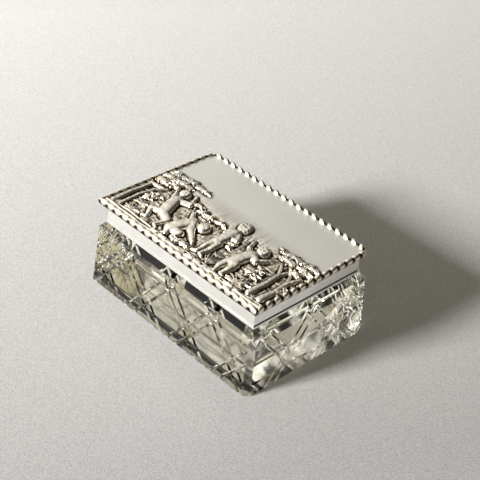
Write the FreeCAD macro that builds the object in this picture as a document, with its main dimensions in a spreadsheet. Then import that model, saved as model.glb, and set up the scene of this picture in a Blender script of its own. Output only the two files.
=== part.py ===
import FreeCAD, Part
import math
import os

# Stamp box: a block of cut glass with two wells, and a hinged silver lid with a scalloped border.
# Millimetres, +Z up. X runs along the long side, the front is at -Y, and the origin is the middle of
# the underside of the glass.

SIZES = {
    # Glass block
    "foot_length": 64.6,
    "foot_width": 46.0,
    "side_height": 16.1,
    "side_draft_angle": 3.0,
    "low_bevel_height": 1.7,
    "low_bevel_depth": 0.7,
    "high_bevel_height": 1.7,
    "high_bevel_depth": 1.4,
    "neck_height": 1.4,
    "corner_flat": 2.2,
    # Stamp wells
    "well_length": 23.0,
    "well_width": 29.8,
    "well_divider": 2.4,
    "floor_thickness": 6.0,
    "scoop_radius": 22.0,
    # Mitre cuts
    "mitre_bar": 3.0,
    "cut_pitch": 17.2,
    "cut_slope_angle": 50.0,
    "pair_gap": 3.6,
    "low_row": 3.6,
    "high_row": 9.8,
    "diagonal_depth": 0.45,
    "row_depth": 0.4,
    "flute_depth": 0.9,
    "flute_length": 7.0,
    "overrun": 2.0,
    # Silver mount on the glass
    "bed_thickness": 0.4,
    "bezel_thickness": 0.5,
    "bezel_height": 1.2,
    "flange_thickness": 0.6,
    "flange_margin": 0.3,
    # Lid
    "ledge_margin": 0.35,
    "lid_wall": 0.7,
    "lid_clearance": 0.2,
    "seam_gap": 0.05,
    "band_height": 5.4,
    "plate_thickness": 0.6,
    "field_rise": 0.65,
    "field_overhang": 0.7,
    "field_corner": 2.0,
    # Embossed garden on the plate
    "garden_depth": 0.4,
    "head_radius": 1.9,
    "head_rise": 1.4,
    "body_radius": 1.7,
    "body_rise": 1.25,
    "upper_arm_radius": 0.8,
    "upper_arm_rise": 0.9,
    "forearm_radius": 0.65,
    "forearm_rise": 0.75,
    "thigh_radius": 1.2,
    "thigh_rise": 1.0,
    "calf_radius": 0.85,
    "calf_rise": 0.8,
    "trunk_radius": 0.9,
    "trunk_rise": 0.7,
    "canopy_radius": 2.6,
    "canopy_rise": 0.95,
    "shrub_radius": 1.9,
    "shrub_rise": 0.65,
    "bank_radius": 0.7,
    "bank_rise": 0.6,
    # Scalloped border
    "border_overhang": 1.2,
    "border_rise": 0.95,
    "border_hang": 0.8,
    "border_corner": 3.2,
    "lobe_pitch": 2.9,
    "lobe_radius": 1.4,
    "lobe_reach": 0.8,
    # Hinge
    "hinge_length": 24.0,
    "knuckle_radius": 0.95,
    "knuckle_gap": 0.1,
    "knuckle_count": 5,
    "pin_radius": 0.4,
    "pin_clearance": 0.04,
    "hinge_offset": 1.25,
    "hinge_lift": 0.65,
    "leaf_thickness": 0.5,
    "leaf_height": 3.0,
    "leaf_clearance": 0.2,
}

# Places in the embossed garden, as shares of the length and width of the plate's field from its middle.
FIGURE_SHARES = {
    "reaching": {
        "head": (-0.321, -0.034), "chest": (-0.306, -0.115), "hip": (-0.271, -0.260),
        "left_elbow": (-0.360, -0.059), "left_hand": (-0.364, 0.015),
        "right_elbow": (-0.237, -0.083), "right_hand": (-0.258, 0.005),
        "left_knee": (-0.310, -0.333), "left_foot": (-0.295, -0.412),
        "right_knee": (-0.214, -0.311), "right_foot": (-0.231, -0.414),
    },
    "crouching": {
        "head": (-0.054, -0.186), "chest": (-0.094, -0.221), "hip": (-0.155, -0.323),
        "left_elbow": (-0.140, -0.167), "left_hand": (-0.163, -0.132),
        "right_elbow": (-0.047, -0.299), "right_hand": (-0.024, -0.355),
        "left_knee": (-0.197, -0.387), "left_foot": (-0.182, -0.431),
        "right_knee": (-0.101, -0.372), "right_foot": (-0.150, -0.417),
    },
    "standing": {
        "head": (0.061, 0.025), "chest": (0.064, -0.078), "hip": (0.059, -0.221),
        "left_elbow": (0.025, -0.132), "left_hand": (0.074, -0.108),
        "right_elbow": (0.109, -0.127), "right_hand": (0.066, -0.145),
        "left_knee": (0.042, -0.306), "left_foot": (0.040, -0.385),
        "right_knee": (0.082, -0.304), "right_foot": (0.077, -0.385),
    },
    "striding": {
        "head": (0.239, -0.064), "chest": (0.226, -0.140), "hip": (0.209, -0.270),
        "left_elbow": (0.172, -0.093), "left_hand": (0.155, -0.029),
        "right_elbow": (0.286, -0.142), "right_hand": (0.295, -0.093),
        "left_knee": (0.187, -0.358), "left_foot": (0.192, -0.429),
        "right_knee": (0.237, -0.350), "right_foot": (0.234, -0.426),
    },
}
TRUNK_SHARES = (
    ((-0.475, -0.431), (-0.471, -0.037)),
    ((-0.434, -0.426), (-0.431, -0.167)),
    ((-0.436, -0.162), (-0.370, 0.039)),
    ((0.391, -0.417), (0.406, -0.069)),
    ((0.396, -0.206), (0.343, -0.078)),
    ((0.460, -0.412), (0.468, -0.059)),
)
CANOPY_SHARES = (
    (-0.441, 0.069), (-0.353, 0.083), (-0.276, 0.078),
    (0.279, 0.029), (0.357, 0.010), (0.441, 0.005),
)
SHRUB_SHARES = (
    (-0.394, -0.221), (-0.387, -0.407), (-0.145, -0.061),
    (-0.037, -0.412), (0.138, -0.319), (0.313, -0.343),
)
BANK_SHARES = ((-0.480, -0.480), (0.480, -0.480))
GARDEN_END_SHARE = 0.012
# Limbs of a figure, each with the two joints that it lies between.
LIMBS = (
    ("body", "chest", "hip"),
    ("upper_arm", "chest", "left_elbow"), ("forearm", "left_elbow", "left_hand"),
    ("upper_arm", "chest", "right_elbow"), ("forearm", "right_elbow", "right_hand"),
    ("thigh", "hip", "left_knee"), ("calf", "left_knee", "left_foot"),
    ("thigh", "hip", "right_knee"), ("calf", "right_knee", "right_foot"),
)
# Flat top of a limb or shrub, as a share of its width at the bottom.
RIDGE_SHARE = 0.45

doc = FreeCAD.newDocument("stamp_box")
sheet = doc.addObject("Spreadsheet::Sheet", "Sizes")
for row, (alias, size) in enumerate(SIZES.items(), start=1):
    sheet.set(f"A{row}", alias)
    sheet.set(f"B{row}", str(size))
    sheet.setAlias(f"B{row}", alias)
doc.recompute()


def number(expression):
    """Worth of an expression over the sheet."""
    return float(sheet.evalExpression(expression))


def cell(alias):
    """Expression that reads one size of the sheet."""
    return f"Sizes.{alias}"


# Levels and outlines that several pieces share, as expressions over the sheet.
BEVEL_EDGE = "(Sizes.side_height + Sizes.low_bevel_height)"
LEDGE = f"({BEVEL_EDGE} + Sizes.high_bevel_height)"
FLANGE_TOP = f"({LEDGE} + Sizes.flange_thickness)"
LID_BOTTOM = f"({FLANGE_TOP} + Sizes.seam_gap)"
PLATE_BOTTOM = f"({LID_BOTTOM} + Sizes.band_height)"
FIELD_BOTTOM = f"({PLATE_BOTTOM} + Sizes.plate_thickness)"
GARDEN_LEVEL = f"({FIELD_BOTTOM} + Sizes.field_rise - Sizes.garden_depth)"
SIDE_INSET = "(Sizes.side_height * tan(Sizes.side_draft_angle * 1 deg))"


def inside(size, inset):
    """Length and width that lie inset from all four sides of an outline."""
    return tuple(f"({side} - 2 * ({inset}))" for side in size)


FOOT = ("Sizes.foot_length", "Sizes.foot_width")
SHOULDER = inside(FOOT, SIDE_INSET)
BEVEL_OUTER = inside(SHOULDER, "Sizes.low_bevel_depth")
LEDGE_OUTER = inside(BEVEL_OUTER, "Sizes.high_bevel_depth")
LID_OUTER = inside(LEDGE_OUTER, "Sizes.ledge_margin")


def outline(inset):
    """Length and width of a frame that lies inset from the outside of the lid wall."""
    return inside(LID_OUTER, inset)


LID_INNER = outline("Sizes.lid_wall")
BEZEL_OUTER = outline("Sizes.lid_wall + Sizes.lid_clearance")
BEZEL_INNER = outline("Sizes.lid_wall + Sizes.lid_clearance + Sizes.bezel_thickness")
NECK = outline("Sizes.lid_wall + Sizes.lid_clearance + Sizes.bezel_thickness + Sizes.bed_thickness")
FLANGE_OUTER = outline("-Sizes.flange_margin")
FIELD = outline("-Sizes.field_overhang")
BORDER_OUTER = outline("-Sizes.border_overhang")
X_AXIS = FreeCAD.Vector(1, 0, 0)
Y_AXIS = FreeCAD.Vector(0, 1, 0)
Z_AXIS = FreeCAD.Vector(0, 0, 1)
QUARTER_TURN = 90
EIGHTH_TURN = 45


def bind(obj, expressions):
    """Tie properties of an object to expressions over the sheet."""
    for prop, expression in expressions.items():
        obj.setExpression(prop, expression)
    return obj


def block(name, size, height, bottom, x="0", y="0"):
    """Upright block of the given length and width, centred on (x, y)."""
    length, width = size
    return bind(doc.addObject("Part::Box", name), {
        "Length": length,
        "Width": width,
        "Height": height,
        "Placement.Base.x": f"{x} - {length} / 2",
        "Placement.Base.y": f"{y} - {width} / 2",
        "Placement.Base.z": bottom,
    })


def frustum(name, low, high, height, bottom):
    """Block whose length and width change evenly from low at its bottom to high at its top."""
    obj = doc.addObject("Part::Wedge", name)
    obj.Placement = FreeCAD.Placement(FreeCAD.Vector(), FreeCAD.Rotation(X_AXIS, QUARTER_TURN))
    return bind(obj, {
        "Xmin": f"-{low[0]} / 2", "Xmax": f"{low[0]} / 2",
        "Zmin": f"-{low[1]} / 2", "Zmax": f"{low[1]} / 2",
        "X2min": f"-{high[0]} / 2", "X2max": f"{high[0]} / 2",
        "Z2min": f"-{high[1]} / 2", "Z2max": f"{high[1]} / 2",
        "Ymin": "0", "Ymax": height,
        "Placement.Base.z": bottom,
    })


def upright(name, radius, height, x, y, bottom):
    """Upright cylinder standing at (x, y)."""
    return bind(doc.addObject("Part::Cylinder", name), {
        "Radius": radius,
        "Height": height,
        "Placement.Base.x": x,
        "Placement.Base.y": y,
        "Placement.Base.z": bottom,
    })


def lying(name, radius, length, start, y, z):
    """Cylinder that lies along X from start, with its axis at (y, z)."""
    obj = doc.addObject("Part::Cylinder", name)
    obj.Placement = FreeCAD.Placement(FreeCAD.Vector(), FreeCAD.Rotation(Y_AXIS, QUARTER_TURN))
    return bind(obj, {
        "Radius": radius,
        "Height": length,
        "Placement.Base.x": start,
        "Placement.Base.y": y,
        "Placement.Base.z": z,
    })


def fuse(name, shapes):
    """Union of several objects, with split faces merged."""
    obj = doc.addObject("Part::MultiFuse", name)
    obj.Shapes = shapes
    obj.Refine = True
    return obj


def cut(name, base, tool):
    """Object base with tool taken away."""
    obj = doc.addObject("Part::Cut", name)
    obj.Base = base
    obj.Tool = tool
    obj.Refine = True
    return obj


def common(name, first, second):
    """What two objects share."""
    obj = doc.addObject("Part::Common", name)
    obj.Base = first
    obj.Tool = second
    return obj


def frame(name, outer, inner, height, bottom):
    """Oblong frame between two outlines."""
    outside = block(f"{name}_outside", outer, height, bottom)
    hollow = block(f"{name}_hollow", inner, height, bottom)
    return cut(name, outside, hollow)


def rear_rounded(name, size, radius, height, bottom):
    """Oblong slab with sharp front corners and rounded rear corners."""
    length, width = size
    front = block(f"{name}_front", (length, f"({width} - {radius})"), height, bottom, y=f"-{radius} / 2")
    middle = block(f"{name}_middle", (f"({length} - 2 * {radius})", width), height, bottom)
    turns = []
    for side, sign in (("left", "-"), ("right", "")):
        x = f"{sign}({length} / 2 - {radius})"
        turns.append(upright(f"{name}_{side}_turn", radius, height, x, f"{width} / 2 - {radius}", bottom))
    return fuse(name, [front, middle, *turns])


def side_frame(side, half_width, level, lean_angle):
    """Frame of one of the four sides: X along the side, Y up its face and Z out of the glass."""
    around = FreeCAD.Placement(FreeCAD.Vector(), FreeCAD.Rotation(Z_AXIS, side * QUARTER_TURN))
    face = FreeCAD.Rotation(X_AXIS, QUARTER_TURN - lean_angle)
    return around * FreeCAD.Placement(FreeCAD.Vector(0, -half_width, level), face)


def mitre_cut(name, face, x, y, turn_angle, length, depth):
    """Square bar laid on one edge, which cuts a right-angled groove centred on (x, y) of a face."""
    bar = bind(doc.addObject("Part::Box", name), {
        "Length": length,
        "Width": cell("mitre_bar"),
        "Height": cell("mitre_bar"),
    })
    place = FreeCAD.Placement(FreeCAD.Vector(x, y, -number(depth)), FreeCAD.Rotation(Z_AXIS, turn_angle))
    centre = FreeCAD.Vector(-number(length) / 2, 0, 0)
    bar.Placement = face * place * FreeCAD.Placement(centre, FreeCAD.Rotation(X_AXIS, EIGHTH_TURN))
    return bar


def side_cuts(side):
    """Grooves of one side: two rows, pairs of crossing diagonals, and flutes over the upper bevel."""
    along, across = FOOT if side % 2 == 0 else FOOT[::-1]
    half_width = number(f"{across} / 2")
    half_length = number(f"{along} / 2")
    lean_angle = number(cell("side_draft_angle"))
    slope_angle = number(cell("cut_slope_angle"))
    pitch = number(cell("cut_pitch"))
    face = side_frame(side, half_width, 0, lean_angle)
    row_length = f"({along} + 2 * Sizes.overrun)"
    cuts = []
    for row in ("low_row", "high_row"):
        level = number(cell(row))
        cuts.append(mitre_cut(f"{row}_{side}", face, 0, level, 0, row_length, cell("row_depth")))
    crossing = number("(Sizes.low_row + Sizes.high_row) / 2")
    diagonal = f"(2 * {LEDGE} / sin(Sizes.cut_slope_angle * 1 deg))"
    half_gap = number("Sizes.pair_gap / 2")
    half_count = math.ceil(half_length / pitch)
    for index in range(-half_count, half_count):
        middle = (index + 1 / 2) * pitch
        for lean, angle in (("rise", slope_angle), ("fall", -slope_angle)):
            for place, x in (("left", middle - half_gap), ("right", middle + half_gap)):
                name = f"{lean}_{place}_{side}_{index + half_count}"
                cuts.append(mitre_cut(name, face, x, crossing, angle, diagonal, cell("diagonal_depth")))
    bevel_run = number(cell("high_bevel_depth"))
    bevel_angle = math.degrees(math.atan2(bevel_run, number(cell("high_bevel_height"))))
    bevel_inset = number(f"{SIDE_INSET} + Sizes.low_bevel_depth")
    bevel = side_frame(side, half_width - bevel_inset, number(BEVEL_EDGE), bevel_angle)
    flute_count = math.floor((half_length - bevel_inset) / pitch)
    for index in range(-flute_count, flute_count + 1):
        name = f"flute_{side}_{index + flute_count}"
        x = index * pitch
        cuts.append(mitre_cut(name, bevel, x, 0, QUARTER_TURN, cell("flute_length"), cell("flute_depth")))
    return cuts


def corner_cuts():
    """Bars that take the sharp edge off the four upright corners of the glass."""
    lean = math.sqrt(2) * math.tan(math.radians(number(cell("side_draft_angle"))))
    face = FreeCAD.Rotation(X_AXIS, QUARTER_TURN - math.degrees(math.atan(lean)))
    length = "(2 * (Sizes.corner_flat + Sizes.overrun))"
    half_length, half_width = (number(f"{side} / 2") for side in FOOT)
    start = FreeCAD.Vector(-number(length) / 2, -number(cell("overrun")), -number(cell("corner_flat")) / 2)
    cuts = []
    for index, (x_sign, y_sign) in enumerate(((-1, -1), (1, -1), (1, 1), (-1, 1))):
        bar = bind(doc.addObject("Part::Box", f"corner_cut_{index}"), {
            "Length": length,
            "Width": f"{LEDGE} + 2 * Sizes.overrun",
            "Height": cell("mitre_bar"),
        })
        corner = FreeCAD.Vector(x_sign * half_length, y_sign * half_width, 0)
        around = FreeCAD.Rotation(Z_AXIS, index * QUARTER_TURN - EIGHTH_TURN)
        inward = FreeCAD.Placement(start, FreeCAD.Rotation())
        bar.Placement = FreeCAD.Placement(corner, around * face) * inward
        cuts.append(bar)
    return cuts


def wells():
    """Two wells with scooped floors, side by side."""
    top = f"({LEDGE} + Sizes.neck_height)"
    scoop = lying("well_scoop", cell("scoop_radius"), cell("foot_length"), "-Sizes.foot_length / 2", "0",
                  "Sizes.floor_thickness + Sizes.scoop_radius")
    size = (cell("well_length"), cell("well_width"))
    step = "(Sizes.well_length + Sizes.well_divider) / 2"
    left = block("well_left", size, top, cell("floor_thickness"), x=f"-{step}")
    right = block("well_right", size, top, cell("floor_thickness"), x=step)
    return common("wells", fuse("well_pair", [left, right]), scoop)


def glass_base():
    """Flared block with a bevelled shoulder and a neck, less its wells and cuts."""
    sides = frustum("glass_sides", FOOT, SHOULDER, cell("side_height"), "0")
    low = frustum("glass_low_bevel", SHOULDER, BEVEL_OUTER, cell("low_bevel_height"), cell("side_height"))
    high = frustum("glass_high_bevel", BEVEL_OUTER, LEDGE_OUTER, cell("high_bevel_height"), BEVEL_EDGE)
    neck = block("glass_neck", NECK, cell("neck_height"), LEDGE)
    body = cut("glass_blank", fuse("glass_block", [sides, low, high, neck]), wells())
    cuts = [bar for side in range(4) for bar in side_cuts(side)]
    return cut("glass_base", body, fuse("glass_cuts", cuts + corner_cuts()))


def mount():
    """Plaster bed, flange and bezel that hold the hinge on the glass."""
    return [
        frame("mount_bed", BEZEL_INNER, NECK, cell("neck_height"), LEDGE),
        frame("mount_flange", FLANGE_OUTER, BEZEL_INNER, cell("flange_thickness"), LEDGE),
        frame("mount_bezel", BEZEL_OUTER, BEZEL_INNER, cell("bezel_height"), FLANGE_TOP),
    ]


def mitre_prism(name, side, height, bottom):
    """Prism over one side of the border, with ends that lean in by an eighth of a turn."""
    along, across = BORDER_OUTER if side % 2 == 0 else BORDER_OUTER[::-1]
    out = "(Sizes.lobe_reach + Sizes.overrun)"
    into = "(Sizes.border_overhang + Sizes.border_corner)"
    obj = doc.addObject("Part::Wedge", name)
    obj.Placement = FreeCAD.Placement(FreeCAD.Vector(), FreeCAD.Rotation(Z_AXIS, side * QUARTER_TURN))
    return bind(obj, {
        "Xmin": f"-{along} / 2 - {out}", "Xmax": f"{along} / 2 + {out}",
        "X2min": f"-{along} / 2 + {into}", "X2max": f"{along} / 2 - {into}",
        "Ymin": f"-{across} / 2 - {out}", "Ymax": f"-{across} / 2 + {into}",
        "Zmin": "0", "Zmax": height, "Z2min": "0", "Z2max": height,
        "Placement.Base.z": bottom,
    })


def lobe_places():
    """Centres of the lobes round the border: along the four sides, and round the two rear corners."""
    inset = number("Sizes.lobe_radius - Sizes.lobe_reach")
    half_length, half_width = (number(size) / 2 for size in BORDER_OUTER)
    radius = number(cell("border_corner"))
    pitch = number(cell("lobe_pitch"))
    places = []
    straight = half_length - radius
    for y, reach in ((-half_width + inset, half_length), (half_width - inset, straight)):
        count = round(2 * reach / pitch)
        places += [(-reach + (index + 1 / 2) * 2 * reach / count, y) for index in range(count)]
    side_length = 2 * half_width - radius
    count = round(side_length / pitch)
    arc_count = round(math.pi / 2 * radius / pitch)
    for sign in (-1, 1):
        for index in range(count):
            y = -half_width + (index + 1 / 2) * side_length / count
            places.append((sign * (half_length - inset), y))
        for index in range(arc_count):
            angle = math.pi / 2 * (index + 1 / 2) / arc_count
            x = straight + (radius - inset) * math.cos(angle)
            places.append((sign * x, half_width - radius + (radius - inset) * math.sin(angle)))
    return places


def border():
    """Four scalloped strips that run round the edge of the plate and hang below it."""
    bottom = f"({FIELD_BOTTOM} - Sizes.border_hang)"
    height = "(Sizes.border_rise + Sizes.border_hang)"
    slab = rear_rounded("border_slab", BORDER_OUTER, cell("border_corner"), height, bottom)
    lobes = []
    for index, (x, y) in enumerate(lobe_places()):
        lobes.append(upright(f"lobe_{index}", cell("lobe_radius"), height, str(x), str(y), bottom))
    seat = fuse("border_seat", [
        block("border_seat_wall", LID_OUTER, height, f"({FIELD_BOTTOM} - {height})"),
        rear_rounded("border_seat_field", FIELD, cell("field_corner"), f"(2 * {height})", bottom),
    ])
    ring = cut("border_ring", fuse("border_blank", [slab, *lobes]), seat)
    strips = []
    for side, name in enumerate(("front", "right", "rear", "left")):
        prism = mitre_prism(f"border_{name}_prism", side, height, bottom)
        strips.append(common(f"border_{name}", ring, prism))
    return strips


def field_place(share):
    """Place on the plate's field as two expressions, from its shares of the length and width."""
    return tuple(f"({part} * {size})" for part, size in zip(share, FIELD))


def limb(name, kind, start_share, end_share):
    """Hipped ridge in the plate between two places, which stands out of the garden by its rise."""
    start_x, start_y = field_place(start_share)
    end_x, end_y = field_place(end_share)
    run = FreeCAD.Vector(number(f"{end_x} - {start_x}"), number(f"{end_y} - {start_y}"), 0)
    radius = cell(f"{kind}_radius")
    obj = doc.addObject("Part::Wedge", name)
    along = FreeCAD.Rotation(Z_AXIS, math.degrees(math.atan2(run.y, run.x)))
    obj.Placement = FreeCAD.Placement(FreeCAD.Vector(), along * FreeCAD.Rotation(X_AXIS, QUARTER_TURN))
    return bind(obj, {
        "Xmin": f"-{radius}", "Xmax": f"{run.Length} + {radius}",
        "Zmin": f"-{radius}", "Zmax": radius,
        "X2min": "0", "X2max": str(run.Length),
        "Z2min": f"-{radius} * {RIDGE_SHARE}", "Z2max": f"{radius} * {RIDGE_SHARE}",
        "Ymin": "0", "Ymax": f"{GARDEN_LEVEL} - {FIELD_BOTTOM} + Sizes.{kind}_rise",
        "Placement.Base.x": start_x,
        "Placement.Base.y": start_y,
        "Placement.Base.z": FIELD_BOTTOM,
    })


def mound(name, kind, share):
    """Blunt cone in the plate, which stands out of the garden by its rise."""
    x, y = field_place(share)
    return bind(doc.addObject("Part::Cone", name), {
        "Radius1": f"Sizes.{kind}_radius",
        "Radius2": f"Sizes.{kind}_radius * {RIDGE_SHARE}",
        "Height": f"{GARDEN_LEVEL} - {FIELD_BOTTOM} + Sizes.{kind}_rise",
        "Placement.Base.x": x,
        "Placement.Base.y": y,
        "Placement.Base.z": FIELD_BOTTOM,
    })


def head(name, share):
    """Ball that is sunk in the plate and stands out of the garden by its rise."""
    x, y = field_place(share)
    ball = bind(doc.addObject("Part::Sphere", f"{name}_ball"), {
        "Radius": cell("head_radius"),
        "Placement.Base.x": x,
        "Placement.Base.y": y,
        "Placement.Base.z": f"{GARDEN_LEVEL} + Sizes.head_rise - Sizes.head_radius",
    })
    space = block(f"{name}_space", FIELD, "(2 * Sizes.head_radius)", FIELD_BOTTOM)
    return common(name, ball, space)


def garden():
    """Main masses of the relief: four figures, trunks, canopies, shrubs and the bank along the front."""
    masses = []
    for figure, joints in FIGURE_SHARES.items():
        masses.append(head(f"{figure}_head", joints["head"]))
        for index, (kind, start, end) in enumerate(LIMBS):
            masses.append(limb(f"{figure}_{kind}_{index}", kind, joints[start], joints[end]))
    for index, (start, end) in enumerate(TRUNK_SHARES):
        masses.append(limb(f"trunk_{index}", "trunk", start, end))
    for kind, shares in (("canopy", CANOPY_SHARES), ("shrub", SHRUB_SHARES)):
        for index, share in enumerate(shares):
            masses.append(mound(f"{kind}_{index}", kind, share))
    masses.append(limb("bank", "bank", *BANK_SHARES))
    return masses


def plate():
    """Top plate: a flange over the wall, a raised field with its sunk garden, and the relief."""
    flange = block("plate_flange", LID_OUTER, cell("plate_thickness"), PLATE_BOTTOM)
    field = rear_rounded("plate_field", FIELD, cell("field_corner"), cell("field_rise"), FIELD_BOTTOM)
    depth = f"({FIELD[1]} * (1 / 2 + {GARDEN_END_SHARE}))"
    sunk_y = f"({FIELD[1]} * ({GARDEN_END_SHARE} - 1 / 2) / 2)"
    sunk = block("garden_ground", (FIELD[0], depth), cell("garden_depth"), GARDEN_LEVEL, y=sunk_y)
    return fuse("lid_plate", [flange, cut("plate_ground", field, sunk), *garden()])


def lid():
    """Wall, top plate and border of the lid."""
    band = frame("lid_band", LID_OUTER, LID_INNER, cell("band_height"), LID_BOTTOM)
    return [band, plate(), *border()]


HINGE_Y = f"({LID_OUTER[1]} / 2 + Sizes.hinge_offset)"
HINGE_Z = f"({FLANGE_TOP} + Sizes.hinge_lift)"
KNUCKLE_STEP = "((Sizes.hinge_length + Sizes.knuckle_gap) / Sizes.knuckle_count)"
KNUCKLE_LENGTH = f"({KNUCKLE_STEP} - Sizes.knuckle_gap)"


def knuckle(name, index, bore, root_size, root_height, root_y, root_bottom):
    """Hinge tube with the root that joins it to its plate."""
    start = f"(-Sizes.hinge_length / 2 + {index} * {KNUCKLE_STEP})"
    tube = lying(f"{name}_tube", cell("knuckle_radius"), KNUCKLE_LENGTH, start, HINGE_Y, HINGE_Z)
    middle = f"({start} + {KNUCKLE_LENGTH} / 2)"
    root = block(f"{name}_root", (KNUCKLE_LENGTH, root_size), root_height, root_bottom, x=middle, y=root_y)
    hole = lying(f"{name}_bore", bore, KNUCKLE_LENGTH, start, HINGE_Y, HINGE_Z)
    return cut(name, fuse(f"{name}_blank", [tube, root]), hole)


def hinge():
    """Five knuckles on one pin: three on the mount, two on the leaf of the lid."""
    flange_edge = f"({FLANGE_OUTER[1]} / 2)"
    foot_width = f"({HINGE_Y} - {flange_edge})"
    foot_y = f"({HINGE_Y} + {flange_edge}) / 2"
    leaf_bottom = f"({HINGE_Z} + Sizes.knuckle_radius + Sizes.leaf_clearance)"
    web_width = "(Sizes.hinge_offset - Sizes.pin_radius)"
    web_y = f"({LID_OUTER[1]} / 2 + {web_width} / 2)"
    pieces = []
    for index, side in ((0, "left"), (2, "middle"), (4, "right")):
        foot = (foot_width, cell("flange_thickness"), foot_y, LEDGE)
        pieces.append(knuckle(f"mount_knuckle_{side}", index, cell("pin_radius"), *foot))
    bore = "(Sizes.pin_radius + Sizes.pin_clearance)"
    web = (web_width, f"({leaf_bottom} - {HINGE_Z})", web_y, HINGE_Z)
    for index, side in ((1, "left"), (3, "right")):
        pieces.append(knuckle(f"lid_knuckle_{side}", index, bore, *web))
    pieces.append(lying("hinge_pin", cell("pin_radius"), cell("hinge_length"), "-Sizes.hinge_length / 2",
                        HINGE_Y, HINGE_Z))
    leaf_y = f"({LID_OUTER[1]} / 2 + Sizes.leaf_thickness / 2)"
    pieces.append(block("lid_leaf", (cell("hinge_length"), cell("leaf_thickness")), cell("leaf_height"),
                        leaf_bottom, y=leaf_y))
    return pieces


pieces = [glass_base(), *mount(), *lid(), *hinge()]
doc.recompute()

failed = [obj.Name for obj in doc.Objects if "Invalid" in obj.State or "Error" in obj.State]
if failed:
    raise RuntimeError(f"objects that failed to build: {failed}")
for piece in pieces:
    if piece.Shape.isNull() or not piece.Shape.isValid() or not piece.Shape.Solids:
        raise RuntimeError(f"{piece.Label} has no valid solid")

os.makedirs("parts", exist_ok=True)
for piece in pieces:
    piece.Shape.exportStep(f"parts/{piece.Label}.step")
    print(piece.Label, len(piece.Shape.Solids), round(piece.Shape.Volume, 3))
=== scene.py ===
# %% [markdown]
# # A stamp box of cut glass with an embossed silver lid
#
# The real thing is a small desk box: a block of cut glass with two wells for
# stamps, a silver mount bedded on its rim, and a hinged silver lid with
# children playing in a garden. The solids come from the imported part. Here they
# get their finishes, and the embossed top and the gadrooned border are made as
# new surfaces. Lengths are in millimetres until they enter a mesh or a node.

# %% The frame
import math

import bpy
import numpy as np
from mathutils import Matrix, Vector


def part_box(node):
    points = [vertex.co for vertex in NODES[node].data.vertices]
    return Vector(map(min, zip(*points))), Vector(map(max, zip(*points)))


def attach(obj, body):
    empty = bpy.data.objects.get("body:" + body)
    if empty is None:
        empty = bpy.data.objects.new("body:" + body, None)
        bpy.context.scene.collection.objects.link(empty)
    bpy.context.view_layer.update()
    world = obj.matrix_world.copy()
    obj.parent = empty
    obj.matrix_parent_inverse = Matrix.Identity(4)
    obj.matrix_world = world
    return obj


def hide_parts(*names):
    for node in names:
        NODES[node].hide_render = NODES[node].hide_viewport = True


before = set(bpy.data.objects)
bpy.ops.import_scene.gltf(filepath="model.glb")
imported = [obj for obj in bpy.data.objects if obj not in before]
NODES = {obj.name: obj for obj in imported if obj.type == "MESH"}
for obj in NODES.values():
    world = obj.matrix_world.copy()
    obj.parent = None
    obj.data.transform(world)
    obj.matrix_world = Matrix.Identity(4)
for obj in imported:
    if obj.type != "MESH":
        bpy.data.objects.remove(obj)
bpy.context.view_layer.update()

MM = 0.001
print("pieces of the part:", len(NODES))


# %% [markdown]
# ## From a grid of points to a mesh
#
# Every new piece is a grid of points worked out at once. It could also be
# modelled by hand or with many modifiers, but a formula over a grid can be read
# and changed. A closed tube needs its last column joined to its first, so one
# small function numbers the cells for all pieces.

# %% Mesh from a grid
def quads(rows, columns, wrap):
    """Corner numbers of a grid's cells, row by row; wrap joins the last column to the first."""
    number = np.arange(rows * columns).reshape(rows, columns)
    beside = np.roll(number, -1, axis=1)
    cells = np.stack([number[:-1], beside[:-1], beside[1:], number[1:]], axis=-1)
    return cells.reshape(-1, 4) if wrap else cells[:, :-1].reshape(-1, 4)


def make_piece(name, points, faces, smooth=True):
    """A new object at the origin from points in mm and lists of corner numbers."""
    mesh = bpy.data.meshes.new(name)
    mesh.from_pydata((np.asarray(points) * MM).tolist(), [], [list(face) for face in faces])
    mesh.polygons.foreach_set("use_smooth", np.full(len(mesh.polygons), smooth))
    mesh.update()
    piece = bpy.data.objects.new(name, mesh)
    bpy.context.scene.collection.objects.link(piece)
    return piece


print("cells of a tube of 3 rings with 4 points each:", len(quads(3, 4, True)))


# %% [markdown]
# ## The embossed top: its grid
#
# On the real lid the picture was pressed into thin sheet from behind. Seen from
# above no part of it hangs over another, so it is a height over a flat grid.
# The rear corners are rounded, so each row of the grid gets its own half width.

# %% Grid of the top
PLATE_LOW, PLATE_HIGH = (np.array(corner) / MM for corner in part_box("lid_plate"))
HALF_LENGTH, HALF_WIDTH = PLATE_HIGH[0], PLATE_HIGH[1]
PLATE_UNDERSIDE = PLATE_LOW[2]
BORDER_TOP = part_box("border_rear")[1][2] / MM
SKY_DROP = 0.3
SKY_LEVEL = BORDER_TOP - SKY_DROP
CORNER_RADIUS = 2.0
GRID_STEP = 0.145

COLUMN_COUNT = int(2 * HALF_LENGTH / GRID_STEP)
ROW_COUNT = int(2 * HALF_WIDTH / GRID_STEP)
ROW_Y = np.linspace(-HALF_WIDTH, HALF_WIDTH, ROW_COUNT)
INTO_CORNER = np.clip(ROW_Y - (HALF_WIDTH - CORNER_RADIUS), 0, CORNER_RADIUS)
ROW_HALF = HALF_LENGTH - CORNER_RADIUS + np.sqrt(CORNER_RADIUS**2 - INTO_CORNER**2)
TOP_X = np.linspace(-1, 1, COLUMN_COUNT)[None, :] * ROW_HALF[:, None]
TOP_Y = np.repeat(ROW_Y[:, None], COLUMN_COUNT, axis=1)
print("grid of the top:", TOP_X.shape)


# %% [markdown]
# ## Chaser's marks
#
# A chaser builds a figure from a few rounded swellings, and foliage from many
# small leaf strokes. Sculpting could do the same by hand. Here each mark is a
# height over the grid, and marks are joined by a rounded maximum, which fills
# the crease between them as soft metal does.

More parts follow.
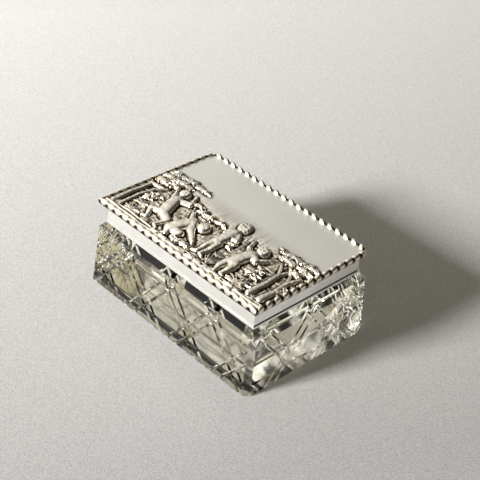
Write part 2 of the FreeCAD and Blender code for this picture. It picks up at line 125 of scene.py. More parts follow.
# %% Marks
NOWHERE = -9.0
TINY = 1e-6
EDGE_SLOPE = 4.0
FULLNESS = 0.75
LEAF_ARCH, LEAF_TILT = 0.45, 0.15
FROND_PARTS = 4
FROND_TAPER = 0.55
MARK_MARGIN = 1.2


def limb(x, y, xa, ya, xb, yb, ra, rb, lift):
    """Height of a limb from a to b.

    The nearest point on the line a-b gives the distance d and the radius r. The height is the lift
    plus a flattened arc, FULLNESS * sqrt(r*r - d*d), and it falls steeply outside.
    """
    along = np.array([xb - xa, yb - ya])
    share = np.clip(((x - xa) * along[0] + (y - ya) * along[1]) / max(along @ along, TINY), 0, 1)
    distance = np.hypot(x - xa - share * along[0], y - ya - share * along[1])
    radius = ra + share * (rb - ra)
    arc = FULLNESS * np.sqrt(np.clip(radius**2 - distance**2, 0, None))
    return lift + arc - EDGE_SLOPE * np.clip(distance - radius, 0, None)


def leaf(x, y, cx, cy, angle, length, width, lift):
    """Height of a leaf: u runs along it and v across it, both in half sizes.

    Its half width is 1 - u*u, it arches over v, and its tip lies lower than its foot.
    """
    c, s = math.cos(angle), math.sin(angle)
    u = ((x - cx) * c + (y - cy) * s) * 2 / length
    v = ((y - cy) * c - (x - cx) * s) * 2 / width
    across = np.abs(v) / np.clip(1 - u * u, TINY, 1)
    blade = lift + LEAF_ARCH * (1 - across**2) - LEAF_TILT * u
    return np.where((across < 1) & (np.abs(u) < 1), blade, NOWHERE)


def frond(x, y, angle, bend, length, radius, lift):
    """Limbs of one blade of a plant: an arc of FROND_PARTS steps that turns by bend and grows thinner."""
    share = np.linspace(0, 1, FROND_PARTS + 1)
    heading = angle + bend * share[:-1]
    xs = x + np.append(0, np.cumsum(np.cos(heading))) * length / FROND_PARTS
    ys = y + np.append(0, np.cumsum(np.sin(heading))) * length / FROND_PARTS
    size = radius * (1 - FROND_TAPER * share)
    rise = np.full(FROND_PARTS, lift)
    return np.stack([xs[:-1], ys[:-1], xs[1:], ys[1:], size[:-1], size[1:], rise], axis=-1).tolist()


def rounded_max(a, b, fillet):
    """The larger of two heights, with the crease between them filled over the given depth."""
    near = np.clip(fillet - np.abs(a - b), 0, None)
    return np.maximum(a, b) + near * near / (4 * fillet)


def patch(x0, y0, x1, y1):
    """The part of the grid round a mark, as a pair of slices."""
    rows = np.searchsorted(ROW_Y, [y0, y1])
    columns = (np.array([x0, x1]) + HALF_LENGTH) * (COLUMN_COUNT - 1) / (2 * HALF_LENGTH)
    columns = np.clip(columns, 0, COLUMN_COUNT).astype(int)
    return slice(*rows), slice(*columns)


def swell(marks, fillet, plump=1.0):
    """All limbs of a table joined by the rounded maximum, over the whole grid; plump scales their radii."""
    height = np.full(TOP_X.shape, NOWHERE)
    for xa, ya, xb, yb, ra, rb, lift in marks:
        ra, rb = plump * ra, plump * rb
        reach = max(ra, rb) + MARK_MARGIN
        part = patch(min(xa, xb) - reach, min(ya, yb) - reach, max(xa, xb) + reach, max(ya, yb) + reach)
        mark = limb(TOP_X[part], TOP_Y[part], xa, ya, xb, yb, ra, rb, lift)
        height[part] = rounded_max(height[part], mark, fillet)
    return height


print("limbs in one blade of grass:", len(frond(0, 0, 0, 0, 1, 1, 0)))


# %% [markdown]
# ## The children
#
# Four plump children of the usual ornamental kind, reaching, crouching,
# standing and striding. A child is a table of limbs in the plane of the lid:
# start, end, the radius at each, and how far the limb stands off the ground.
# A table is chosen because limbs are quick to lengthen, bend and add.

# %% Bodies
REACHING = [
    (-18.3, -2.6, -18.1, -4.0, 0.8, 1.05, 0.3), (-18.0, -5.0, -16.8, -8.6, 1.5, 1.75, 0.2),
    (-16.8, -8.6, -15.7, -11.2, 1.75, 1.7, 0.2), (-17.0, -4.4, -13.7, -3.2, 0.9, 0.74, 0.35),
    (-13.7, -3.2, -15.2, 0.2, 0.72, 0.52, 0.4), (-15.2, 0.2, -15.8, 0.9, 0.55, 0.42, 0.4),
    (-19.5, -4.3, -20.8, -2.2, 0.8, 0.62, 0.2), (-15.4, -11.8, -12.0, -13.2, 1.45, 1.05, 0.3),
    (-12.0, -13.2, -13.0, -16.8, 0.9, 0.56, 0.25), (-13.0, -17.0, -11.8, -17.6, 0.55, 0.42, 0.25),
    (-16.9, -11.6, -19.4, -12.6, 1.15, 0.88, 0.1), (-19.4, -12.6, -17.4, -15.8, 0.84, 0.55, 0.15),
    (-17.4, -16.0, -18.6, -16.6, 0.52, 0.4, 0.15),
]
CROUCHING = [
    (-5.2, -8.6, -6.6, -9.0, 1.0, 1.3, 0.3), (-7.0, -9.0, -8.5, -12.4, 1.6, 1.8, 0.25),
    (-8.5, -12.4, -8.9, -14.6, 1.8, 1.65, 0.25), (-7.2, -7.8, -4.6, -11.4, 1.05, 1.05, 0.5),
    (-4.6, -11.4, -1.6, -13.6, 0.98, 0.78, 0.45), (-1.6, -13.6, -0.4, -14.6, 0.82, 0.55, 0.4),
    (-8.0, -8.0, -9.6, -5.9, 0.84, 0.62, 0.4), (-9.6, -5.9, -10.4, -5.0, 0.58, 0.45, 0.35),
    (-8.6, -14.6, -5.4, -14.5, 1.35, 1.02, 0.35), (-5.4, -14.5, -5.8, -17.1, 0.92, 0.58, 0.3),
    (-5.8, -17.3, -4.5, -17.8, 0.54, 0.42, 0.3), (-9.6, -14.8, -8.2, -17.1, 1.2, 0.72, 0.15),
    (-8.2, -17.2, -9.4, -17.8, 0.58, 0.44, 0.15),
]
STANDING = [
    (3.5, -1.0, 3.4, -2.2, 0.9, 1.05, 0.3), (3.3, -2.9, 3.3, -6.0, 1.5, 1.55, 0.2),
    (3.3, -6.0, 3.2, -9.0, 1.5, 1.45, 0.2), (2.0, -2.6, 1.7, -4.7, 0.82, 0.66, 0.35),
    (1.7, -4.7, 4.8, -3.7, 0.66, 0.5, 0.6), (4.9, -2.6, 6.4, -4.8, 0.82, 0.66, 0.3),
    (6.4, -4.8, 3.6, -5.3, 0.64, 0.5, 0.6), (2.7, -9.6, 2.6, -12.6, 1.1, 0.84, 0.25),
    (2.6, -12.6, 2.7, -15.6, 0.82, 0.54, 0.25), (2.7, -15.8, 1.5, -16.4, 0.52, 0.4, 0.25),
    (4.2, -9.4, 4.5, -12.5, 1.1, 0.84, 0.15), (4.5, -12.5, 4.1, -15.8, 0.82, 0.54, 0.15),
    (4.1, -16.0, 5.3, -16.5, 0.52, 0.4, 0.15),
]
STRIDING = [
    (14.0, -4.0, 13.4, -5.2, 0.95, 1.15, 0.3), (13.0, -6.2, 12.5, -9.6, 1.72, 1.62, 0.25),
    (12.5, -9.6, 12.3, -12.0, 1.68, 1.62, 0.25), (11.8, -5.4, 10.4, -4.0, 0.88, 0.7, 0.35),
    (10.4, -4.0, 9.6, -1.8, 0.66, 0.48, 0.35), (9.6, -1.8, 9.3, -0.8, 0.5, 0.4, 0.35),
    (14.5, -6.4, 15.8, -7.0, 1.1, 0.92, 0.5), (15.8, -7.0, 17.6, -4.6, 0.78, 0.52, 0.45),
    (11.4, -12.6, 11.1, -15.4, 1.24, 0.96, 0.25), (11.1, -15.4, 11.7, -17.9, 0.9, 0.56, 0.25),
    (11.7, -18.0, 10.5, -18.5, 0.54, 0.42, 0.25), (13.5, -12.4, 14.0, -15.0, 1.24, 0.96, 0.35),
    (14.0, -15.0, 13.6, -17.4, 0.88, 0.56, 0.35), (13.6, -17.6, 14.9, -18.1, 0.54, 0.42, 0.3),
]
print("limbs:", [len(limbs) for limbs in (REACHING, CROUCHING, STANDING, STRIDING)])


# %% [markdown]
# ## Faces and curls
#
# A head is a ball. Its face and curls are cut last on the real lid, with small
# punches, so here they are added on top of the finished height. They are soft
# bells placed in shares of the head's radius, and the same for all children.
# The crouching child looks down, so its face is cut only lightly.

# %% Heads and figures
# Head: centre, radius, turn of the chin from straight down, and depth of the cutting.
CHILDREN = [
    (REACHING, (-18.4, -1.0, 1.75, 0.5, 1.0)),
    (CROUCHING, (-3.3, -7.8, 2.05, -0.6, 0.3)),
    (STANDING, (3.6, 1.0, 2.20, -0.2, 1.0)),
    (STRIDING, (14.3, -2.7, 2.00, 0.3, 1.0)),
]
# Swelling or hollow of a face: place across and up, width, height and size, all but the size in shares.
FACE = [
    (-0.34, 0.00, 0.17, 0.10, -0.17), (0.34, 0.00, 0.17, 0.10, -0.17),
    (0.0, -0.17, 0.10, 0.20, 0.17), (0.0, -0.48, 0.21, 0.06, -0.13),
    (-0.44, -0.34, 0.20, 0.18, 0.07), (0.44, -0.34, 0.20, 0.18, 0.07),
    (0.0, -0.74, 0.19, 0.12, 0.10), (0.0, 0.20, 0.46, 0.06, 0.06),
]
# Ring of curls: share of the radius, count, and the size of each swelling.
CURL_RINGS = [(0.98, 11, 0.20), (0.74, 8, 0.24), (0.48, 5, 0.20)]
CURL_WIDTH = 0.14
CURLS_PAST_EAR = 0.2
HEAD_REACH = 1.3
HEAD_LIFT, HEAD_FILLET = 0.25, 0.12
BODY_FILLET, BODY_PLUMP = 0.35, 1.16


def curls(ring, count, size):
    """Curls at even angles over the upper half of a head, a little past both ears."""
    angles = np.linspace(-CURLS_PAST_EAR, math.pi + CURLS_PAST_EAR, count)
    return [(ring * math.cos(a), ring * math.sin(a), CURL_WIDTH, CURL_WIDTH, size) for a in angles]


def carve_head(height, cx, cy, radius, turn, depth):
    """Adds bells for the face and the curls: size * exp(-(u/width)**2 - (v/height)**2) from each place."""
    c, s = math.cos(turn), math.sin(turn)
    reach = HEAD_REACH * radius
    part = patch(cx - reach, cy - reach, cx + reach, cy + reach)
    u = ((TOP_X[part] - cx) * c + (TOP_Y[part] - cy) * s) / radius
    v = ((TOP_Y[part] - cy) * c - (TOP_X[part] - cx) * s) / radius
    hair = [curl for ring in CURL_RINGS for curl in curls(*ring)]
    for pu, pv, wide, high, size in [*FACE, *hair]:
        height[part] += depth * size * np.exp(-(((u - pu) / wide) ** 2) - ((v - pv) / high) ** 2)


figures = np.full(TOP_X.shape, NOWHERE)
heads = np.zeros(TOP_X.shape)
for limbs, (cx, cy, radius, turn, depth) in CHILDREN:
    ball = swell([(cx, cy, cx, cy, radius, radius, HEAD_LIFT)], HEAD_FILLET)
    figures = np.maximum(figures, np.maximum(swell(limbs, BODY_FILLET, BODY_PLUMP), ball))
    carve_head(heads, cx, cy, radius, turn, depth)
print("figures stand", round(float(figures.max()), 2), "mm off the ground")


# %% [markdown]
# ## The garden
#
# Trees close the picture at both ends, low shrubs and tufts of grass fill the
# gaps, and a leafy bank of earth with one flower runs along the front. Trunks
# and blades are limbs too. Hundreds of leaves placed by hand would be dull
# work, so a seeded generator lays them in oval clumps, pointing outward.

# %% Plants
TRUNKS = [
    (-28.6, -18.2, -28.9, -12.0, 1.05, 0.85, 0.2), (-28.9, -12.0, -28.6, -5.4, 0.85, 0.8, 0.2),
    (-29.2, -4.3, -24.6, -3.8, 0.72, 0.5, 0.3), (-26.2, -17.8, -26.6, -11.0, 0.75, 0.62, 0.15),
    (-26.6, -11.0, -25.8, -6.0, 0.62, 0.55, 0.15), (-25.8, -6.0, -23.4, -3.2, 0.55, 0.42, 0.2),
    (23.9, -17.2, 23.9, -11.0, 1.1, 0.86, 0.25), (23.9, -11.0, 23.5, -6.0, 0.86, 0.74, 0.25),
    (23.5, -6.2, 20.8, -2.4, 0.56, 0.36, 0.3), (23.5, -6.0, 24.8, -2.0, 0.6, 0.42, 0.25),
    (27.6, -17.0, 27.9, -11.6, 1.15, 0.98, 0.3), (27.9, -11.6, 27.3, -7.6, 0.98, 0.86, 0.3),
    (27.3, -7.6, 28.4, -3.2, 0.84, 0.58, 0.3), (27.3, -7.6, 25.8, -4.4, 0.56, 0.4, 0.3),
]
# Clump of leaves: middle x and y, half length, half height, count, lift; the last four lie on the bank.
CLUMPS = [
    (-26.4, 4.2, 3.3, 1.2, 44, 0.3), (-20.8, 4.6, 4.2, 0.9, 40, 0.25), (-15.8, 4.2, 2.4, 0.7, 14, 0.2),
    (-26.8, 1.6, 3.0, 1.1, 40, 0.35), (-21.6, 2.2, 3.0, 0.9, 28, 0.25), (-27.6, -1.2, 2.2, 1.2, 30, 0.35),
    (-23.8, -0.6, 1.8, 1.0, 20, 0.3), (-24.0, -8.4, 1.5, 2.6, 20, 0.05), (-22.2, -7.4, 1.6, 1.0, 12, 0.1),
    (-12.0, -1.8, 1.8, 0.7, 14, 0.15), (-8.6, -3.0, 1.6, 0.8, 14, 0.15), (-5.2, -3.2, 1.6, 0.8, 14, 0.15),
    (-1.8, -2.8, 1.6, 0.8, 14, 0.15), (6.6, -7.2, 0.9, 1.6, 10, 0.1), (19.8, -8.6, 2.0, 1.2, 16, 0.15),
    (19.2, -11.6, 2.4, 1.0, 18, 0.2), (17.2, 2.0, 1.6, 0.6, 10, 0.2), (21.4, 2.2, 2.6, 0.9, 28, 0.3),
    (26.6, 2.6, 2.9, 0.9, 34, 0.3), (21.0, -0.2, 2.6, 0.9, 26, 0.3), (27.0, 0.2, 2.5, 1.0, 30, 0.35),
    (25.6, -2.6, 2.2, 0.9, 22, 0.35), (29.0, -9.6, 0.6, 3.2, 10, 0.15), (-2.4, -17.0, 2.4, 0.9, 22, 0.3),
    (-8.6, -19.4, 3.4, 0.45, 18, 0.55), (5.4, -19.4, 2.6, 0.45, 16, 0.55),
    (12.4, -19.5, 3.4, 0.45, 18, 0.55),
    (20.6, -19.5, 3.0, 0.45, 14, 0.55),
]
# Tuft of blades: foot x, foot y, first and last angle in degrees, count, length, radius, bend, lift.
TUFTS = [
    (18.6, -17.6, 25, 170, 8, 4.8, 0.34, -0.9, 0.3), (20.4, -16.8, 60, 175, 6, 3.4, 0.3, 0.9, 0.4),
    (21.8, -17.8, 140, 185, 4, 4.2, 0.3, -0.3, 0.35), (8.0, -17.4, 45, 140, 7, 4.6, 0.28, 0.1, 0.25),
    (7.8, -13.4, 40, 150, 6, 3.0, 0.24, 0.3, 0.1), (-22.8, -13.6, 20, 165, 8, 2.6, 0.3, -0.8, 0.2),
    (-22.4, -17.6, 15, 165, 9, 3.0, 0.3, -0.7, 0.3), (-16.4, -18.2, 20, 160, 8, 2.2, 0.28, 0.6, 0.3),
    (-27.4, -18.4, 15, 165, 8, 2.0, 0.28, -0.6, 0.35), (0.4, -17.6, 25, 160, 7, 2.6, 0.28, 0.5, 0.25),
    (26.0, -18.2, 30, 150, 6, 2.0, 0.28, 0.5, 0.35), (-13.0, -9.8, 40, 140, 5, 2.6, 0.24, 0.4, 0.05),
    (-11.6, -4.2, 75, 115, 5, 4.2, 0.16, 0.2, 0.1), (-8.2, -4.4, 75, 115, 5, 4.4, 0.16, -0.2, 0.1),
    (-4.8, -4.2, 75, 110, 5, 4.4, 0.16, 0.2, 0.1), (-1.4, -4.4, 70, 110, 5, 4.0, 0.16, -0.2, 0.1),
    (8.4, -4.6, 70, 115, 4, 3.0, 0.18, 0.2, 0.1), (18.2, -4.6, 65, 115, 4, 3.0, 0.18, -0.3, 0.1),
]
SHORT_BLADE, BLADE_OVERLAP = 0.78, 0.08
PLANT_FILLET, TRUNK_FILLET = 0.02, 0.2
FLOWER = (1.2, -19.9, 0.74)
PETALS = 7
PETAL, FLOWER_EYE = (0.36, 0.75), (0.34, 0.85)
# Ridge of the bank: middle line, size and phase of its wave, half width and height.
BANK_RIDGES = [(-18.7, 0.35, 0.0, 0.45, 0.6), (-19.9, 0.18, 1.9, 0.75, 0.95)]
BANK_WAVE, RIPPLE_WAVE, RIPPLE = 4.3, 1.3, 0.12
print("clumps:", len(CLUMPS), "tufts:", len(TUFTS), "trunk limbs:", len(TRUNKS))


# %% Laying the garden
LEAF_LENGTH, LENGTH_RANGE = 1.5, 1.1
LEAF_WIDTH, WIDTH_RANGE = 0.55, 0.35
LEAF_FLAT, LEAF_SCATTER = 0.3, 0.45
LEAF_SINK, CLUMP_DOME, LEAF_LOOSE = 0.15, 0.3, 0.5
draw = np.random.default_rng(21)


def lay_leaves(height):
    """Lays each clump's leaves inside its oval: flat angles that point outward, highest in the middle."""
    total = 0
    for cx, cy, half_x, half_y, count, lift in CLUMPS:
        ring = np.sqrt(draw.random(count))
        turn = draw.random(count) * 2 * math.pi
        aim = np.arctan2(LEAF_FLAT * np.sin(turn), np.cos(turn)) + draw.normal(0, LEAF_SCATTER, count)
        length = LEAF_LENGTH + LENGTH_RANGE * draw.random(count)
        width = LEAF_WIDTH + WIDTH_RANGE * draw.random(count)
        rise = lift - LEAF_SINK + CLUMP_DOME * (1 - ring**2) + LEAF_LOOSE * draw.random(count)
        for k in np.argsort(rise):
            x = cx + half_x * ring[k] * math.cos(turn[k])
            y = cy + half_y * ring[k] * math.sin(turn[k])
            part = patch(x - length[k], y - length[k], x + length[k], y + length[k])
            mark = leaf(TOP_X[part], TOP_Y[part], x, y, aim[k], length[k], width[k], rise[k])
            height[part] = np.maximum(height[part], mark)
        total += count
    return total


def tuft(x, y, first, last, count, length, radius, bend, lift):
    """Blades that fan out from one foot between two angles, alternately short and long."""
    blades = []
    for k, angle in enumerate(np.radians(np.linspace(first, last, count))):
        size = length * (1.0 if k % 2 else SHORT_BLADE)
        lean = bend * math.copysign(1, math.cos(angle))
        blades += frond(x, y, angle, lean, size, radius, lift + BLADE_OVERLAP * (k % 2))
    return blades


def flower_marks(x, y, ring):
    """Petals as small balls on a ring, round one ball in the middle."""
    angles = np.arange(PETALS) * 2 * math.pi / PETALS
    balls = [(x + ring * math.cos(a), y + ring * math.sin(a), *PETAL) for a in angles]
    return [(bx, by, bx, by, r, r, lift) for bx, by, r, lift in [*balls, (x, y, *FLOWER_EYE)]]


garden = swell(TRUNKS, TRUNK_FILLET)
leaf_count = lay_leaves(garden)
blades = [mark for row in TUFTS for mark in tuft(*row)]
garden = np.maximum(garden, swell([*blades, *flower_marks(*FLOWER)], PLANT_FILLET))
bank = np.full(TOP_X.shape, NOWHERE)
for middle, wave, phase, width, size in BANK_RIDGES:
    ripple = RIPPLE * np.sin(TOP_X / RIPPLE_WAVE + 2 * phase)
    line = middle + wave * np.sin(TOP_X / BANK_WAVE + phase) + ripple
    bank = np.maximum(bank, size * np.exp(-(((TOP_Y - line) / width) ** 2)))
print("leaves:", leaf_count, "blades:", len(blades) // FROND_PARTS)


# %% [markdown]
# ## One height for the whole top
#
# The ground behind the figures lies lower than the plain sky and is closed off
# with hatching, which thins out into engraved haze over the horizon. A chased
# line follows every figure and makes it stand out. A soft limit keeps the high
# parts level, as the press does, and heads are cut after that.

# %% Height
GROUND_DEPTH = 0.4
HIGH_LIMIT = 1.2
CUSHION, CUSHION_POWER = 0.12, 4
HORIZON_Y, HORIZON_RISE, HORIZON_POWER = -0.6, 3.6, 1.5
HORIZON_SWAY, HORIZON_WAVE, HORIZON_FADE = 0.5, 3.1, 0.7
HAZE_TOP = 6.5
HATCH_HEIGHT, ENGRAVED_HEIGHT, PUNCHED_HEIGHT = 0.05, 0.012, 0.035
CHASED_DEPTH, CHASED_WIDTH = 0.22, 0.28
BELL_REACH = 2.5


def soften(field, radius_y, radius_x):
    """Mean of each point's neighbours, weighted by bells of those radii in mm across and along the rows."""
    for axis, radius in enumerate((radius_y, radius_x)):
        reach = int(BELL_REACH * radius / GRID_STEP) + 1
        weights = np.exp(-0.5 * (np.arange(-reach, reach + 1) * GRID_STEP / radius) ** 2)
        weights /= weights.sum()
        edges = [(reach, reach) if axis == side else (0, 0) for side in (0, 1)]
        wide = np.pad(field, edges, mode="edge")
        count = field.shape[axis]
        field = sum(w * np.take(wide, range(k, k + count), axis=axis) for k, w in enumerate(weights))
    return field


def strokes(radius_y, radius_x):
    """Short strokes of a graver: noise softened far more one way than the other, with a spread of one."""
    field = soften(draw.normal(0, 1, TOP_X.shape), radius_y, radius_x)
    return field / field.std()


sway = HORIZON_SWAY * np.sin(TOP_X / HORIZON_WAVE)
horizon = HORIZON_Y + HORIZON_RISE * (np.abs(TOP_X) / HALF_LENGTH) ** HORIZON_POWER + sway
in_garden = 1 / (1 + np.exp((TOP_Y - horizon) / HORIZON_FADE))
haze = np.clip((HAZE_TOP - TOP_Y) / HAZE_TOP, 0, 1) * (1 - in_garden)
engraved = strokes(1.1, 0.16)
hatching = np.maximum(strokes(0.14, 0.8), strokes(0.7, 0.16))
punched = strokes(0.3, 0.3)
ground = (HATCH_HEIGHT * hatching - GROUND_DEPTH) * in_garden + ENGRAVED_HEIGHT * engraved * haze
from_figure = np.clip(-figures, 0, None) / EDGE_SLOPE
chased = CHASED_DEPTH * np.exp(-((from_figure / CHASED_WIDTH) ** 2)) * (figures < 0)
relief = np.maximum(ground, np.maximum(garden, bank) - GROUND_DEPTH)
relief = np.maximum(relief - chased, figures - GROUND_DEPTH) + PUNCHED_HEIGHT * punched * in_garden
relief = HIGH_LIMIT * np.tanh(relief / HIGH_LIMIT) + heads
bulge = (1 - (TOP_X / HALF_LENGTH) ** CUSHION_POWER) * (1 - (TOP_Y / HALF_WIDTH) ** CUSHION_POWER)
top_z = SKY_LEVEL + relief + CUSHION * (bulge - 1)
print("top from", round(float(top_z.min()), 2), "to", round(float(top_z.max()), 2))


# %% [markdown]
# ## Where tarnish and painted shade lie
#
# Polish and tarnish stay where the metal lies lower than its surroundings: in
# creases, on the hatched ground and between leaves. Shade falls in the same
# places, so their darkening is partly tarnish and partly painted shade, and the
# leaves as a whole get a little painted shade too. Comparing the height with a
# softened copy of itself finds those places. The result, the recess value, is
# kept on the mesh for the finish, because a finish alone cannot see a shape.

# %% Recess
CREASE_RADIUS, CREASE_FULL = 0.5, 0.17
LOW_FROM = 0.1
LOW_SHADE, HATCH_SHADE, HATCH_MIDDLE = 0.16, 0.26, 0.5
HAZE_SHADE, HAZE_LINE = 0.18, 0.04
PLANT_SHADE = 0.10
FIGURE_CLEAN = 0.5
EDGE_HEIGHT = 0.3
STROKE_LIMITS = (-1, 2)

# darkening in creases, on the low ground and on the leaves: partly tarnish, partly painted shade
crease = np.clip((soften(relief, CREASE_RADIUS, CREASE_RADIUS) - relief) / CREASE_FULL, 0, 1)
low_ground = np.clip(-LOW_FROM - relief, 0, GROUND_DEPTH) / GROUND_DEPTH * in_garden
haze_lines = (HAZE_SHADE + HAZE_LINE * np.clip(-engraved, *STROKE_LIMITS)) * haze
hatch_lines = (LOW_SHADE + HATCH_SHADE * np.clip(HATCH_MIDDLE - hatching, *STROKE_LIMITS)) * low_ground
on_figure = np.clip(figures / EDGE_HEIGHT, 0, 1)
on_plants = np.clip(garden / EDGE_HEIGHT, 0, 1) * (1 - on_figure)
recess = crease * (1 - FIGURE_CLEAN * on_figure) + haze_lines + hatch_lines + PLANT_SHADE * on_plants
recess = np.clip(recess, 0, 1)
print("mean recess:", round(float(recess.mean()), 3))


# %% [markdown]
# ## The top as a closed piece
#
# The plain sky needs far fewer points than the figures, so only every fourth
# row is kept there. The edge goes straight down to the underside, which is a
# fan round its middle, so the piece is a closed solid as the real plate is.

# %% The relief plate
FINE_TO = 8.0
SPARSE_STEP = 4
# the underside gets a dark tone: painted shade inside the closed box
UNDERSIDE_SHADE = 0.45
SHARP_ANGLE = math.radians(60)

before_corner = ROW_Y <= HALF_WIDTH - CORNER_RADIUS
sparse_rows = np.flatnonzero((ROW_Y >= FINE_TO) & before_corner)[::SPARSE_STEP]
kept_rows = np.concatenate([np.flatnonzero(ROW_Y < FINE_TO), sparse_rows, np.flatnonzero(~before_corner)])


def write_attribute(piece, name, values):
    """One number per point, kept on the mesh for the finish to read."""
    layer = piece.data.attributes.new(name, "FLOAT", "POINT")
    layer.data.foreach_set("value", np.asarray(values, np.float32).ravel())


def seat_on_lid(piece, node, recess_values, garden_values):
    """Marks the sharp edges, keeps the values for the finish, and puts the piece in its solid's place."""
    piece.data.set_sharp_from_angle(angle=SHARP_ANGLE)
    write_attribute(piece, "recess", recess_values)
    write_attribute(piece, "garden", garden_values)
    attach(piece, "lid")
    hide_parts(node)


def closed_plate(name, x, y, z, underside):
    """Grid of the top, its rim repeated at the underside, and one point in the middle of the underside."""
    rows, columns = x.shape
    number = np.arange(rows * columns).reshape(rows, columns)
    rim = np.concatenate([number[0], number[1:, -1], number[-1, -2::-1], number[-2:0:-1, 0]])
    top = np.stack([x, y, z], axis=-1).reshape(-1, 3)
    low = top[rim].copy()
    low[:, 2] = underside
    middle = np.array([[0.0, 0.0, underside]])
    low_number = len(top) + np.arange(len(rim))
    next_low = np.roll(low_number, -1)
    wall = np.stack([low_number, next_low, np.roll(rim, -1), rim], axis=-1)
    fan = np.stack([next_low, low_number, np.full(len(rim), len(top) + len(rim))], axis=-1)
    faces = [*quads(rows, columns, False).tolist(), *wall.tolist(), *fan.tolist()]
    return make_piece(name, np.concatenate([top, low, middle]), faces), len(rim) + 1


relief_plate, spare = closed_plate(
    "relief_plate", TOP_X[kept_rows], TOP_Y[kept_rows], top_z[kept_rows], PLATE_UNDERSIDE
)
plate_recess = np.append(recess[kept_rows].ravel(), np.full(spare, UNDERSIDE_SHADE))
plate_garden = np.append(in_garden[kept_rows].ravel(), np.zeros(spare))
seat_on_lid(relief_plate, "lid_plate", plate_recess, plate_garden)
print("faces of the relief plate:", len(relief_plate.data.polygons))


# %% [markdown]
# ## The gadrooned border
#
# A border of slanting lobes was rolled as a strip and soldered round the edge:
# mitred at the front corners and bent round the rear ones. Copies of one lobe
# along a curve would show joints, so each strip is one closed tube. Its oval
# section swells into lobes along the strip, and the lobes lean, so their phase
# also depends on the distance from the middle line. The front strip is worn by
# thumbs: its lobes are shallow, and under them dark teeth are painted shade.

# %% Border strips
STRIP_ROUND = 24
STRIP_LONG = 20
LOBE_LENGTH, LOBE_DEPTH, LOBE_SHARE, LOBE_SLANT = 3.0, 0.55, 0.74, 0.8
LOBE_RISE = 0.3
STRIP_LAP = 0.12
SECTION_POWER = 0.7
OPEN_MIDDLE, OPEN_RISE = 0.6, 0.7
GAP_DARK, GAP_FADE, LEAST_DARK = 1.6, 2.0, 0.06
TOOTH_LEVEL, TOOTH_CURVE, TOOTH_EDGE = 0.6, 0.85, 0.2
FRONT_WEAR_AND_SHADE, WEAR_SHARE = 0.9, 0.7
BEND_RADIUS = 3.0
EIGHTH = math.pi / 4
OUTER_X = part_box("border_right")[1][0] / MM
OUTER_Y = -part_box("border_front")[0][1] / MM
STRIP_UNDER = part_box("border_front")[0][2] / MM
STRIP_TOP = BORDER_TOP + LOBE_RISE
STRIP_HALF = (OUTER_X - HALF_LENGTH) / 2 + STRIP_LAP
MIDDLE_X = OUTER_X - STRIP_HALF
MIDDLE_Y = OUTER_Y - STRIP_HALF


def signed_power(value, power):
    """A power of the size of a value, with the value's sign: it makes an oval section squarer."""
    return np.sign(value) * np.abs(value) ** power


def strip_points(half, round_start, round_end, worn):
    """Points of a strip that lies along x with +y outward, in mm from its middle line, and their recess.

    The section is an oval, o = w cos t outward and z = sin t upward. Its size is cut back between lobes
    by LOBE_DEPTH times 1 - sqrt(1 - p*p), p being the place inside a lobe from -1 to 1. A round end
    turns about the corner's centre for an eighth of a circle, and a mitred end runs on by o.
    """
    straight = half - BEND_RADIUS
    bent_end = straight + BEND_RADIUS * EIGHTH
    start = -bent_end if round_start else -half
    end = bent_end if round_end else half
    lobes = max(round((end - start) / LOBE_LENGTH), 1)
    t = np.linspace(0, 2 * math.pi, STRIP_ROUND, endpoint=False)[None, :]
    u = np.linspace(0, 1, lobes * STRIP_LONG + 1)[:, None]
    phase = (u * lobes + LOBE_SLANT * np.cos(t) / 2 / LOBE_LENGTH) % 1
    lobe = np.sqrt(np.clip(1 - ((2 * phase - 1) / LOBE_SHARE) ** 2, 0, 1))
    open_side = np.clip(OPEN_MIDDLE + OPEN_RISE * np.sin(t), 0, 1)
    size = 1 - LOBE_DEPTH * (1 - WEAR_SHARE * worn) * (1 - lobe) * open_side
    o = STRIP_HALF * signed_power(np.cos(t), SECTION_POWER) * size
    z = signed_power(np.sin(t), SECTION_POWER) * size
    mitre = (0 if round_end else u) - (0 if round_start else 1 - u)
    a = start + u * (end - start) + o * mitre
    bend = np.clip(np.abs(a) - straight, 0, None) / BEND_RADIUS
    bend = np.where(((a > 0) & round_end) | ((a < 0) & round_start), bend, 0)
    x = np.where(bend > 0, np.sign(a) * (straight + (BEND_RADIUS + o) * np.sin(bend)), a)
    y = np.where(bend > 0, (BEND_RADIUS + o) * np.cos(bend) - BEND_RADIUS, o)
    between = np.clip(GAP_DARK - GAP_FADE * lobe, LEAST_DARK, 1) * np.sqrt(open_side)
    # painted shade: dark teeth on the lower outer side, under the front strip's lobes
    painted_shade_teeth = np.clip((TOOTH_LEVEL - TOOTH_CURVE * lobe - np.sin(t)) / TOOTH_EDGE, LEAST_DARK, 1)
    return x, y, z, between + worn * (painted_shade_teeth - between)


def border_strip(name, node, turn, half, distance, round_start, round_end, worn=0.0):
    """One strip, turned by quarter turns from the rear side and set at its distance from the middle."""
    x, y, z, dark = strip_points(half, round_start, round_end, worn)
    c, s = round(math.cos(turn)), round(math.sin(turn))
    y = y + distance
    middle, rise = (STRIP_TOP + STRIP_UNDER) / 2, (STRIP_TOP - STRIP_UNDER) / 2
    points = np.stack([x * c - y * s, x * s + y * c, middle + rise * z], axis=-1)
    rows, columns = x.shape
    first, last = np.arange(columns), np.arange(columns) + (rows - 1) * columns
    faces = [*quads(rows, columns, True).tolist(), first[::-1].tolist(), last.tolist()]
    strip = make_piece(name, points.reshape(-1, 3), faces)
    seat_on_lid(strip, node, dark, np.ones(dark.shape))
    return strip


